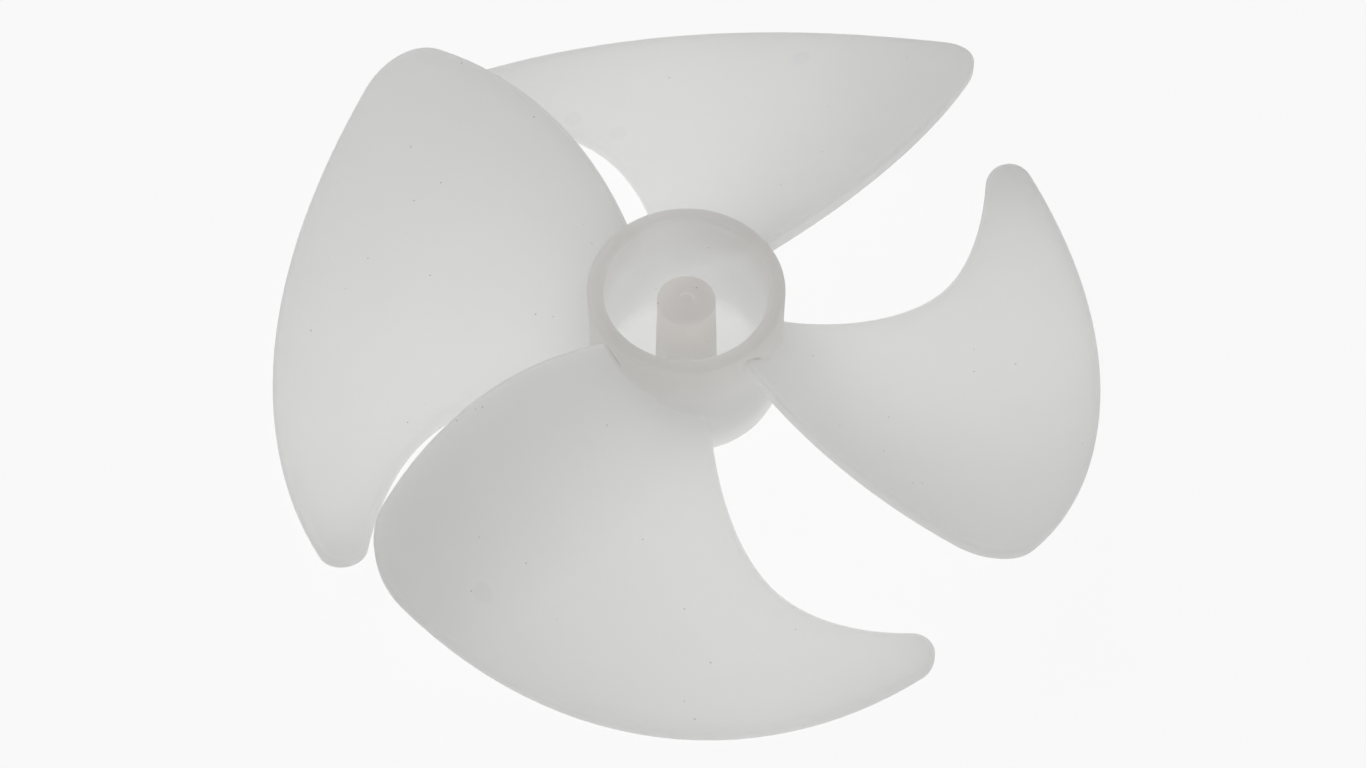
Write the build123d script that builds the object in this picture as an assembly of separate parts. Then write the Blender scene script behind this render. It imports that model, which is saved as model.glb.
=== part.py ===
from build123d import *
from math import cos, radians, sin, sqrt, tan
import os

# Four-blade axial fan wheel for a refrigerator, moulded in one piece.
# Millimetres. The origin is the mouth of the shaft bore, on the closed end of the hub.
# +Z is the axis and points to the open end of the hub cup. A blade's middle ray lies on +X.
# Angles are in degrees. The blades lead towards +angle: the hooked edge is at the larger angle.

# Hub cup
HUB_HEIGHT = 20.1
HUB_RADIUS = 12.5
HUB_WALL = 2.0
HUB_FLOOR = 2.0
HUB_DRAFT = 0.6
HUB_RIM_CHAMFER = 0.3
HUB_BASE_ROUND = 1.2
HUB_FLOOR_FILLET = 1.6

# Shaft boss in the middle of the cup, with its blind bore from the closed end
BOSS_RADIUS = 3.7
BOSS_BELOW_RIM = 2.4
BOSS_DRAFT = 1.2
BOSS_TOP_CHAMFER = 0.35
BORE_RADIUS = 1.5
BORE_DEPTH = 14.0
BORE_LEAD_IN = 0.4

# Gate mark on the boss top: a shallow round dimple
GATE_RADIUS = 1.0
GATE_DEPTH = 0.35

# Blades
BLADE_COUNT = 4
BLADE_RADIUS = 55.0
BLADE_THICKNESS = 2.2
BLADE_EDGE_CHAMFER = 0.6

# Blade outline seen along the axis: bowed trailing edge, rim a little flatter than a circle
# round the axis, hooked leading edge
TRAILING_ROOT_ANGLE = -43.0
TRAILING_BOW_RADIUS = 32.0
TRAILING_BOW_ANGLE = -45.0
TRAILING_CORNER_ANGLE = -36.0
TRAILING_CORNER_ROUND = 7.8
RIM_FLATTENING = 1.3
LEADING_ROOT_ANGLE = 25.0
LEADING_BOW = ((24.7, 22.9), (36.2, 29.0), (43.1, 37.0))
LEADING_TIP_ANGLE = 53.5
LEADING_TIP_ROUND = 3.2

# Each blade is cut from a conical shell that opens upwards and outwards.
# Its lowest ruling lies near the leading edge, and it climbs towards the trailing edge.
CONE_APEX_X = -15.3
CONE_APEX_Y = 26.3
CONE_APEX_HEIGHT = 2.8
CONE_TURN = -5.1
CONE_CLIMB = 47.7
CONE_HALF_ANGLE = 49.2


def polar(radius, angle):
    """Point at a radius and an angle round the axis."""
    return (radius * cos(radians(angle)), radius * sin(radians(angle)))


def draft_shift(angle, height):
    """Sideways shift of a drafted wall over a height."""
    return height * tan(radians(angle))


def hub_body():
    """Drafted cup with a round-edged closed end and the boss standing on its floor."""
    base_radius = HUB_RADIUS - draft_shift(HUB_DRAFT, HUB_HEIGHT)
    mouth_radius = HUB_RADIUS - HUB_WALL
    floor_radius = mouth_radius - draft_shift(HUB_DRAFT, HUB_HEIGHT - HUB_FLOOR)
    boss_top = HUB_HEIGHT - BOSS_BELOW_RIM
    boss_foot_radius = BOSS_RADIUS + draft_shift(BOSS_DRAFT, boss_top - HUB_FLOOR)
    base_edge = (base_radius, 0)
    floor_edge = (floor_radius, HUB_FLOOR)
    softened = (
        ((HUB_RADIUS, HUB_HEIGHT), HUB_RIM_CHAMFER),
        ((mouth_radius, HUB_HEIGHT), HUB_RIM_CHAMFER),
        ((BOSS_RADIUS, boss_top), BOSS_TOP_CHAMFER),
    )
    profile = make_face(
        Polyline(
            (0, 0),
            base_edge,
            (HUB_RADIUS, HUB_HEIGHT),
            (mouth_radius, HUB_HEIGHT),
            floor_edge,
            (boss_foot_radius, HUB_FLOOR),
            (BOSS_RADIUS, boss_top),
            (0, boss_top),
            close=True,
        )
    )
    profile = fillet(corner_near(profile, base_edge), HUB_BASE_ROUND)
    profile = fillet(corner_near(profile, floor_edge), HUB_FLOOR_FILLET)
    for corner, size in softened:
        profile = chamfer(corner_near(profile, corner), size)
    return revolve(Plane.XZ * profile, Axis.Z)


def corner_near(face, point):
    """The corner of a flat face that is nearest to a point."""
    return face.vertices().sort_by_distance((*point, 0))[0]


def shaft_bore():
    """Blind press-fit bore with a lead-in chamfer at its mouth."""
    bore = extrude(Circle(BORE_RADIUS), BORE_DEPTH)
    lead_in = Pos(Z=BORE_LEAD_IN / 2) * Cone(BORE_RADIUS + BORE_LEAD_IN, BORE_RADIUS, BORE_LEAD_IN)
    return bore + lead_in


def gate_dimple():
    """Shallow round mark left by the gate, on the boss top."""
    boss_top = HUB_HEIGHT - BOSS_BELOW_RIM
    return Pos(Z=boss_top - GATE_DEPTH) * extrude(Circle(GATE_RADIUS), GATE_DEPTH)


def conical_shell():
    """Shell of the blade's thickness, on both sides of the cone that the blade follows."""
    climb = radians(CONE_CLIMB)
    half_angle = radians(CONE_HALF_ANGLE)
    half_along_axis = BLADE_THICKNESS / 2 / sin(half_angle)
    reach = 2 * BLADE_RADIUS
    spread = reach * tan(half_angle)
    section = make_face(
        Polyline(
            (0, -half_along_axis),
            (spread, reach - half_along_axis),
            (spread, reach + half_along_axis),
            (0, half_along_axis),
            close=True,
        )
    )
    direction = (*polar(cos(climb), CONE_TURN), sin(climb))
    seat = Plane(origin=(CONE_APEX_X, CONE_APEX_Y, CONE_APEX_HEIGHT), z_dir=direction)
    return seat * revolve(Plane.XZ * section, Axis.Z)


def blade_outline():
    """Blade seen along the axis, from the middle of the hub wall to the rim."""
    root_radius = HUB_RADIUS - HUB_WALL / 2
    trailing_root = polar(root_radius, TRAILING_ROOT_ANGLE)
    trailing_corner = polar(BLADE_RADIUS, TRAILING_CORNER_ANGLE)
    leading_root = polar(root_radius, LEADING_ROOT_ANGLE)
    leading_tip = polar(BLADE_RADIUS, LEADING_TIP_ANGLE)
    trailing_bow = polar(TRAILING_BOW_RADIUS, TRAILING_BOW_ANGLE)
    leading_bow = [polar(*point) for point in reversed(LEADING_BOW)]
    rim_middle = polar(BLADE_RADIUS - RIM_FLATTENING, (TRAILING_CORNER_ANGLE + LEADING_TIP_ANGLE) / 2)
    root_middle = polar(root_radius, (TRAILING_ROOT_ANGLE + LEADING_ROOT_ANGLE) / 2)
    outline = make_face(
        [
            ThreePointArc(trailing_root, trailing_bow, trailing_corner),
            ThreePointArc(trailing_corner, rim_middle, leading_tip),
            Spline(leading_tip, *leading_bow, leading_root),
            ThreePointArc(leading_root, root_middle, trailing_root),
        ]
    )
    outline = fillet(corner_near(outline, trailing_corner), TRAILING_CORNER_ROUND)
    return fillet(corner_near(outline, leading_tip), LEADING_TIP_ROUND)


def blade():
    """One blade: its outline cut out of the conical shell, with its free edges softened."""
    column = Pos(Z=-HUB_HEIGHT) * extrude(blade_outline(), 3 * HUB_HEIGHT)
    body = column & conical_shell()
    upper_and_lower = body.faces().sort_by(SortBy.AREA)[-2:]
    free_edges = upper_and_lower.edges().filter_by(lambda edge: distance_from_axis(edge @ 0.5) > HUB_RADIUS)
    return chamfer(free_edges, BLADE_EDGE_CHAMFER)


def distance_from_axis(point):
    """Distance of a point from the axis of the wheel."""
    return sqrt(point.X**2 + point.Y**2)


def fan_wheel():
    """The whole moulding: hub, boss and blades in one solid."""
    one_blade = blade()
    wheel = hub_body()
    for turn in range(BLADE_COUNT):
        wheel += Rot(Z=360 / BLADE_COUNT * turn) * one_blade
    return wheel - shaft_bore() - gate_dimple()


os.makedirs("parts", exist_ok=True)
export_step(fan_wheel(), "parts/fan_blade.step")
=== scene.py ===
import bpy
from math import cos, radians, sin
from mathutils import Matrix, Vector

# Four-blade refrigerator fan wheel of milky polypropylene, seen from the open end of its hub.
# Metres and degrees, in the frame of the part: +Z is the axis, the hub stands on z = 0.
# Azimuths and angles are counted from +X.

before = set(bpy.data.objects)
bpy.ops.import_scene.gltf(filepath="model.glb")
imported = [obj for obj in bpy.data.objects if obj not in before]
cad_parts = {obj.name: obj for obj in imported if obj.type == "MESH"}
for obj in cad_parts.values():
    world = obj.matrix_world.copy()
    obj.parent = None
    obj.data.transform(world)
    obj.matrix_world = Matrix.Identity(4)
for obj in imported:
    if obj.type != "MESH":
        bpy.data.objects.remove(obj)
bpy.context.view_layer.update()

MM = 0.001
ORIGIN = (0.0, 0.0, 0.0)
WHITE = (1.0, 1.0, 1.0, 1.0)
QUARTER_TURN = 90.0
FULL_TURN = 360.0

# Camera, matched to the photograph: where it stands, then how far it slides sideways and upwards
CAMERA_AZIMUTH = -80.0
CAMERA_ELEVATION = 58.0
CAMERA_DISTANCE = 454.9 * MM
CAMERA_TARGET_HEIGHT = 20.16 * MM
CAMERA_SLIDE_RIGHT = -0.42 * MM
CAMERA_SLIDE_UP = -12.03 * MM
CAMERA_LENS = 95.3
CAMERA_CLIP_START = 10 * MM
SENSOR_WIDTH = 36.0

# Sizes of the fan that the painted light and shade on the hub and in the creases follow
HUB_HEIGHT = 20.1 * MM
HUB_RADIUS = 12.5 * MM
HUB_FLOOR = 2.0 * MM
BOSS_FOOT_RADIUS = 4.1 * MM
BLADE_COUNT = 4

# Plastic: its body, the light that passes through it, and its satin skin
PLASTIC_COLOUR = (0.905, 0.90, 0.89, 1.0)
CLOUD_COLOUR = (0.87, 0.865, 0.86, 1.0)
CLOUD_SIZE = 22 * MM
CLOUD_RANGE = (0.35, 0.65)
CLOUD_DETAIL = 3.0
SCATTER_LENGTH = 25 * MM
SCATTER_TINT = (1.0, 0.97, 0.92)
THROUGH_COLOUR = (0.925, 0.93, 0.925, 1.0)
THROUGH_SHARE = 0.55
ROUGHNESS = (0.36, 0.48)
GLOSS_SIZE = 5.5 * MM
GLOSS_RANGE = (0.3, 0.7)
GRAIN_SIZE = 0.6 * MM
GRAIN_HEIGHT = 0.01 * MM
FINE_DETAIL = 2.0

# Rounded edges: how wide they look, and the turn of the surface (as a cosine) that counts as edge
# The lighter edge colour is a painted highlight, where light catches the rounded edges.
EDGE_HIGHLIGHT_COLOUR = (0.93, 0.925, 0.915, 1.0)
EDGE_SOFTENING = 1.1 * MM
EDGE_SAMPLES = 8
EDGE_RANGE = (0.80, 0.99)

# Painted shade: a darker, warmer colour that grows towards the hub's rim and the top of the boss, where
# thick plastic lets less light through.
# Painted light: the boss is coloured lighter, whitest at its foot, with a warmer painted shade towards its
# top, and the gate mark on the boss has a painted light spot in its middle.
RIM_PAINTED_SHADE = (0.68, 0.615, 0.59, 1.0)
RIM_SHADE_FROM = HUB_HEIGHT - 7.1 * MM
RIM_SHADE_TO = HUB_HEIGHT - 0.3 * MM
BOSS_TOP_PAINTED_SHADE = (1.0, 0.91, 0.87, 1.0)
BOSS_SHADE_FROM = 6.0 * MM
BOSS_SHADE_TO = 15.0 * MM
GATE_PAINTED_LIGHT_RADIUS = 0.7 * MM
LIGHT_AND_SHADE_MARGIN = 0.2 * MM
LIGHT_AND_SHADE_FADE = 0.4 * MM

# Painted shade in the crease where a blade's upper face meets the hub, at the trailing end.
# Each end has an angle from the blade's middle ray and a height.
CREASE_PAINTED_SHADE = (0.16, 0.13, 0.13, 1.0)
CREASE_ENDS = ((-42.0, 19.0 * MM), (-29.0, 16.2 * MM))
CREASE_WIDTH = 0.5 * MM
CREASE_CORE = 0.2

# Faint round marks on the blades, each by its distance from the axis and its angle
MARK_COLOUR = (0.81, 0.825, 0.825, 1.0)
MARKS = ((42.1 * MM, 121.4), (37.7 * MM, 114.2), (48.5 * MM, 81.3), (46.6 * MM, 247.8))
MARK_RADIUS = 1.4 * MM
MARK_CORE = 0.7

# Dust specks in the plastic
SPECK_COLOUR = (0.20, 0.17, 0.15, 1.0)
SPECK_SPACING = 3.6 * MM
SPECK_RADIUS = 0.15 * MM
SPECK_CORE = 0.5

# Stage and light. The photograph lights the milky plastic from behind, so the table glows softly.
FLOOR_SIZE = 6.0
FLOOR_GAP = 0.3 * MM
FLOOR_COLOUR = (0.86, 0.86, 0.86, 1.0)
FLOOR_WHITENING = 0.92
GLOW_NEAR = 0.93
GLOW_FAR = 0.12
GLOW_REACH = 58 * MM
WORLD_STRENGTH = 0.235
LIGHT_BOUNCES = 16
LAMP_AZIMUTH = 150.0
LAMP_ELEVATION = 50.0
LAMP_DISTANCE = 0.9
LAMP_WIDTH = 0.5
LAMP_WATTS = 1.3


def direction(azimuth, elevation):
    """Unit vector towards an azimuth and an elevation above the floor."""
    level = cos(radians(elevation))
    return Vector((level * cos(radians(azimuth)), level * sin(radians(azimuth)), sin(radians(elevation))))


def place_at(radius, angle, height):
    """Place at a distance from the axis, an angle and a height."""
    return direction(angle, 0.0) * radius + Vector((0.0, 0.0, height))


def photo_camera():
    """Level camera at the photograph's viewing angle."""
    back = direction(CAMERA_AZIMUTH, CAMERA_ELEVATION)
    right = direction(CAMERA_AZIMUTH + QUARTER_TURN, 0.0)
    up = back.cross(right)
    data = bpy.data.cameras.new("photo_camera")
    data.lens = CAMERA_LENS
    data.sensor_width = SENSOR_WIDTH
    data.clip_start = CAMERA_CLIP_START
    camera = bpy.data.objects.new("photo_camera", data)
    place = Vector((0.0, 0.0, CAMERA_TARGET_HEIGHT)) + back * CAMERA_DISTANCE
    place += right * CAMERA_SLIDE_RIGHT + up * CAMERA_SLIDE_UP
    turn = Matrix((right, up, back)).transposed()
    camera.matrix_world = Matrix.Translation(place) @ turn.to_4x4()
    bpy.context.scene.collection.objects.link(camera)
    bpy.context.scene.camera = camera


def new_material(name):
    """Material with an empty node tree."""
    material = bpy.data.materials.new(name)
    material.use_nodes = True
    material.node_tree.nodes.clear()
    return material, material.node_tree


def show_mix(tree, first, second):
    """Puts a mix of two shaders on the surface, and gives the socket for the second one's share."""
    mix = tree.nodes.new("ShaderNodeMixShader")
    output = tree.nodes.new("ShaderNodeOutputMaterial")
    tree.links.new(first, mix.inputs[1])
    tree.links.new(second, mix.inputs[2])
    tree.links.new(mix.outputs["Shader"], output.inputs["Surface"])
    return mix.inputs["Fac"]


def noise(tree, coordinates, size, detail):
    """Noise whose lumps are about the given size."""
    node = tree.nodes.new("ShaderNodeTexNoise")
    node.inputs["Scale"].default_value = 1.0 / size
    node.inputs["Detail"].default_value = detail
    tree.links.new(coordinates, node.inputs["Vector"])
    return node.outputs["Fac"]


def remap(tree, value, low, high, out_low, out_high):
    """Value carried from the range low..high to out_low..out_high, held at both ends."""
    node = tree.nodes.new("ShaderNodeMapRange")
    node.inputs["From Min"].default_value = low
    node.inputs["From Max"].default_value = high
    node.inputs["To Min"].default_value = out_low
    node.inputs["To Max"].default_value = out_high
    tree.links.new(value, node.inputs["Value"])
    return node.outputs["Result"]


def blend(tree, factor, first, second):
    """Colour between first and second. Each is a colour or the output of a node."""
    node = tree.nodes.new("ShaderNodeMix")
    node.data_type = "RGBA"
    tree.links.new(factor, node.inputs["Factor"])
    for name, colour in (("A", first), ("B", second)):
        socket = next(s for s in node.inputs if s.name == name and s.type == "RGBA")
        if isinstance(colour, tuple):
            socket.default_value = colour
        else:
            tree.links.new(colour, socket)
    return next(s for s in node.outputs if s.type == "RGBA")


def combine(tree, operation, first, second):
    """Two values put together: their product, or the larger or smaller of them."""
    node = tree.nodes.new("ShaderNodeMath")
    node.operation = operation
    tree.links.new(first, node.inputs[0])
    tree.links.new(second, node.inputs[1])
    return node.outputs["Value"]


def smallest(tree, values):
    """The smallest of several values."""
    least = values[0]
    for value in values[1:]:
        least = combine(tree, "MINIMUM", least, value)
    return least


def distance_to(tree, place, centre):
    """Distance from a place to a fixed centre."""
    node = tree.nodes.new("ShaderNodeVectorMath")
    node.operation = "DISTANCE"
    node.inputs[1].default_value = centre
    tree.links.new(place, node.inputs[0])
    return node.outputs["Value"]


def spot(tree, distance, radius, core):
    """1 in the core of a spot, a share of its radius, fading to 0 at the radius."""
    return remap(tree, distance, core * radius, radius, 1.0, 0.0)


def within(tree, radius, limit):
    """1 up to a limit of the distance from the axis, 0 a short fade beyond it."""
    return remap(tree, radius, limit, limit + LIGHT_AND_SHADE_FADE, 1.0, 0.0)


def above(tree, height, low, high):
    """0 up to a height, 1 from a second height on."""
    return remap(tree, height, low, high, 0.0, 1.0)


def along_axis(tree, coordinates):
    """Where a point is seen along the axis: its place with the height taken out."""
    flat = tree.nodes.new("ShaderNodeVectorMath")
    flat.operation = "MULTIPLY"
    flat.inputs[1].default_value = (1.0, 1.0, 0.0)
    tree.links.new(coordinates, flat.inputs[0])
    return flat.outputs["Vector"]


def height_of(tree, coordinates):
    """Height of a point above the closed end of the hub."""
    node = tree.nodes.new("ShaderNodeSeparateXYZ")
    tree.links.new(coordinates, node.inputs["Vector"])
    return node.outputs["Z"]


def specks(tree, coordinates):
    """1 inside the tiny dark specks of dust, 0 elsewhere."""
    cells = tree.nodes.new("ShaderNodeTexVoronoi")
    cells.inputs["Scale"].default_value = 1.0 / SPECK_SPACING
    tree.links.new(coordinates, cells.inputs["Vector"])
    return spot(tree, cells.outputs["Distance"], SPECK_RADIUS / SPECK_SPACING, SPECK_CORE)


def round_marks(tree, plan):
    """1 inside the faint round marks, seen along the axis, 0 elsewhere."""
    distances = [distance_to(tree, plan, place_at(radius, angle, 0.0)) for radius, angle in MARKS]
    return spot(tree, smallest(tree, distances), MARK_RADIUS, MARK_CORE)


def crease_distance(tree, coordinates, turn):
    """Distance from the middle of one blade's crease, 1 at its sides and its ends."""
    start, end = [place_at(HUB_RADIUS, angle + turn, height) for angle, height in CREASE_ENDS]
    run = end - start
    place = tree.nodes.new("ShaderNodeMapping")
    place.vector_type = "TEXTURE"
    place.inputs["Location"].default_value = (start + end) / 2
    place.inputs["Rotation"].default_value = run.to_track_quat("X", "Z").to_euler()
    place.inputs["Scale"].default_value = (run.length / 2, CREASE_WIDTH / 2, CREASE_WIDTH / 2)
    tree.links.new(coordinates, place.inputs["Vector"])
    return distance_to(tree, place.outputs["Vector"], ORIGIN)


def creases(tree, coordinates):
    """1 in the middle of each blade's crease, fading to 0 at its sides and its ends."""
    turns = [FULL_TURN / BLADE_COUNT * blade for blade in range(BLADE_COUNT)]
    distances = [crease_distance(tree, coordinates, turn) for turn in turns]
    return spot(tree, smallest(tree, distances), 1.0, CREASE_CORE)


def softened_normal(tree):
    """The surface's direction, with the edges rounded over."""
    node = tree.nodes.new("ShaderNodeBevel")
    node.samples = EDGE_SAMPLES
    node.inputs["Radius"].default_value = EDGE_SOFTENING
    return node.outputs["Normal"]


def edges(tree, soft_normal):
    """1 on the rounded edges, where the softened normal leaves the surface's own, 0 on the faces."""
    own = tree.nodes.new("ShaderNodeNewGeometry").outputs["Normal"]
    node = tree.nodes.new("ShaderNodeVectorMath")
    node.operation = "DOT_PRODUCT"
    tree.links.new(soft_normal, node.inputs[0])
    tree.links.new(own, node.inputs[1])
    return remap(tree, node.outputs["Value"], *EDGE_RANGE, 1.0, 0.0)


def hub_painted_light_and_shade(tree, coordinates, plan):
    """Masks and colours of the painted shade at the rim, of the painted light and shade on the boss and of
    the painted light spot in its gate mark.
    """
    radius = distance_to(tree, plan, ORIGIN)
    height = height_of(tree, coordinates)
    in_hub = within(tree, radius, HUB_RADIUS + LIGHT_AND_SHADE_MARGIN)
    in_boss = within(tree, radius, BOSS_FOOT_RADIUS + LIGHT_AND_SHADE_MARGIN)
    in_spot = within(tree, radius, GATE_PAINTED_LIGHT_RADIUS)
    # painted shade towards the hub's rim and the top of the boss
    rim = combine(tree, "MULTIPLY", above(tree, height, RIM_SHADE_FROM, RIM_SHADE_TO), in_hub)
    # painted light on the boss, whitest at its foot, with warmer painted shade towards its top
    boss = combine(tree, "MULTIPLY", above(tree, height, HUB_FLOOR, HUB_FLOOR + LIGHT_AND_SHADE_FADE), in_boss)
    # painted light spot in the middle of the gate mark
    gate_light = combine(tree, "MULTIPLY", boss, in_spot)
    boss_light_and_shade = blend(tree, above(tree, height, BOSS_SHADE_FROM, BOSS_SHADE_TO), WHITE, BOSS_TOP_PAINTED_SHADE)
    return (rim, RIM_PAINTED_SHADE), (boss, boss_light_and_shade), (gate_light, WHITE)


def plastic_colour(tree, coordinates, soft_normal):
    """Cloudy natural plastic, with the painted highlight on its edges, painted light and shade on the hub,
    painted shade in the creases, and its marks and specks laid over it.
    """
    plan = along_axis(tree, coordinates)
    clouds = remap(tree, noise(tree, coordinates, CLOUD_SIZE, CLOUD_DETAIL), *CLOUD_RANGE, 0.0, 1.0)
    colour = blend(tree, clouds, PLASTIC_COLOUR, CLOUD_COLOUR)
    layers = (
        # painted highlight along the rounded edges
        (edges(tree, soft_normal), EDGE_HIGHLIGHT_COLOUR),
        # painted shade on the rim and the boss top, painted light on the boss and in its gate mark
        *hub_painted_light_and_shade(tree, coordinates, plan),
        # painted shade in the creases at the blades' trailing roots
        (creases(tree, coordinates), CREASE_PAINTED_SHADE),
        (round_marks(tree, plan), MARK_COLOUR),
        (specks(tree, coordinates), SPECK_COLOUR),
    )
    for mask, layer_colour in layers:
        colour = blend(tree, mask, colour, layer_colour)
    return colour


def patchy_gloss(tree, coordinates):
    """Roughness of the satin skin, which changes a little from place to place."""
    patches = noise(tree, coordinates, GLOSS_SIZE, FINE_DETAIL)
    return remap(tree, patches, *GLOSS_RANGE, *ROUGHNESS)


def grained(tree, coordinates, soft_normal):
    """The softened surface with a fine grain on it."""
    grain = tree.nodes.new("ShaderNodeBump")
    grain.inputs["Distance"].default_value = GRAIN_HEIGHT
    tree.links.new(noise(tree, coordinates, GRAIN_SIZE, FINE_DETAIL), grain.inputs["Height"])
    tree.links.new(soft_normal, grain.inputs["Normal"])
    return grain.outputs["Normal"]


def milky_plastic():
    """Natural polypropylene: light passes into it and through it, the skin is satin and finely grained."""
    material, tree = new_material("milky_plastic")
    coordinates = tree.nodes.new("ShaderNodeTexCoord").outputs["Object"]
    soft_normal = softened_normal(tree)
    body = tree.nodes.new("ShaderNodeBsdfPrincipled")
    body.inputs["Subsurface Weight"].default_value = 1.0
    body.inputs["Subsurface Radius"].default_value = SCATTER_TINT
    body.inputs["Subsurface Scale"].default_value = SCATTER_LENGTH
    tree.links.new(plastic_colour(tree, coordinates, soft_normal), body.inputs["Base Color"])
    tree.links.new(patchy_gloss(tree, coordinates), body.inputs["Roughness"])
    tree.links.new(grained(tree, coordinates, soft_normal), body.inputs["Normal"])
    through = tree.nodes.new("ShaderNodeBsdfTranslucent")
    through.inputs["Color"].default_value = THROUGH_COLOUR
    share = show_mix(tree, body.outputs["BSDF"], through.outputs["BSDF"])
    share.default_value = THROUGH_SHARE
    return material


def seen_directly(tree):
    """1 for rays that show the background itself: from the camera, a reflection or glass."""
    path = tree.nodes.new("ShaderNodeLightPath")
    seen = combine(tree, "MAXIMUM", path.outputs["Is Camera Ray"], path.outputs["Is Glossy Ray"])
    return combine(tree, "MAXIMUM", seen, path.outputs["Is Transmission Ray"])


def glowing_white():
    """Pale matte floor that glows under the fan and is whitened where it is seen directly."""
    material, tree = new_material("floor")
    matte = tree.nodes.new("ShaderNodeBsdfDiffuse")
    matte.inputs["Color"].default_value = FLOOR_COLOUR
    glow = tree.nodes.new("ShaderNodeEmission")
    glow.inputs["Color"].default_value = WHITE
    place = tree.nodes.new("ShaderNodeTexCoord").outputs["Object"]
    glow_here = remap(tree, distance_to(tree, place, ORIGIN), 0.0, GLOW_REACH, GLOW_NEAR, GLOW_FAR)
    share = tree.nodes.new("ShaderNodeMapRange")
    share.inputs["To Max"].default_value = FLOOR_WHITENING
    tree.links.new(seen_directly(tree), share.inputs["Value"])
    tree.links.new(glow_here, share.inputs["To Min"])
    tree.links.new(share.outputs["Result"], show_mix(tree, matte.outputs["BSDF"], glow.outputs["Emission"]))
    return material


def white_floor():
    """Pale floor under the hub, which keeps the object's shadow."""
    bpy.ops.mesh.primitive_plane_add(size=FLOOR_SIZE, location=(0.0, 0.0, -FLOOR_GAP))
    floor = bpy.context.object
    floor.name = "floor"
    floor.data.materials.append(glowing_white())


def studio_world():
    """Even light from all around, white where it is seen directly."""
    world = bpy.data.worlds.new("studio")
    world.use_nodes = True
    tree = world.node_tree
    tree.nodes.clear()
    output = tree.nodes.new("ShaderNodeOutputWorld")
    sky = tree.nodes.new("ShaderNodeBackground")
    sky.inputs["Color"].default_value = WHITE
    strength = remap(tree, seen_directly(tree), 0.0, 1.0, WORLD_STRENGTH, 1.0)
    tree.links.new(strength, sky.inputs["Strength"])
    tree.links.new(sky.outputs["Background"], output.inputs["Surface"])
    bpy.context.scene.world = world


def soft_lamp():
    """Large square lamp that faces the fan."""
    data = bpy.data.lights.new("soft_lamp", "AREA")
    data.size = LAMP_WIDTH
    data.energy = LAMP_WATTS
    lamp = bpy.data.objects.new("soft_lamp", data)
    towards = direction(LAMP_AZIMUTH, LAMP_ELEVATION)
    lamp.location = towards * LAMP_DISTANCE
    lamp.rotation_euler = towards.to_track_quat("Z", "Y").to_euler()
    bpy.context.scene.collection.objects.link(lamp)


bpy.context.scene.view_settings.view_transform = "Standard"
bpy.context.scene.cycles.diffuse_bounces = LIGHT_BOUNCES
bpy.context.scene.cycles.max_bounces = LIGHT_BOUNCES
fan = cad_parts["fan_blade"]
fan.data.materials.clear()
fan.data.materials.append(milky_plastic())
white_floor()
studio_world()
soft_lamp()
photo_camera()
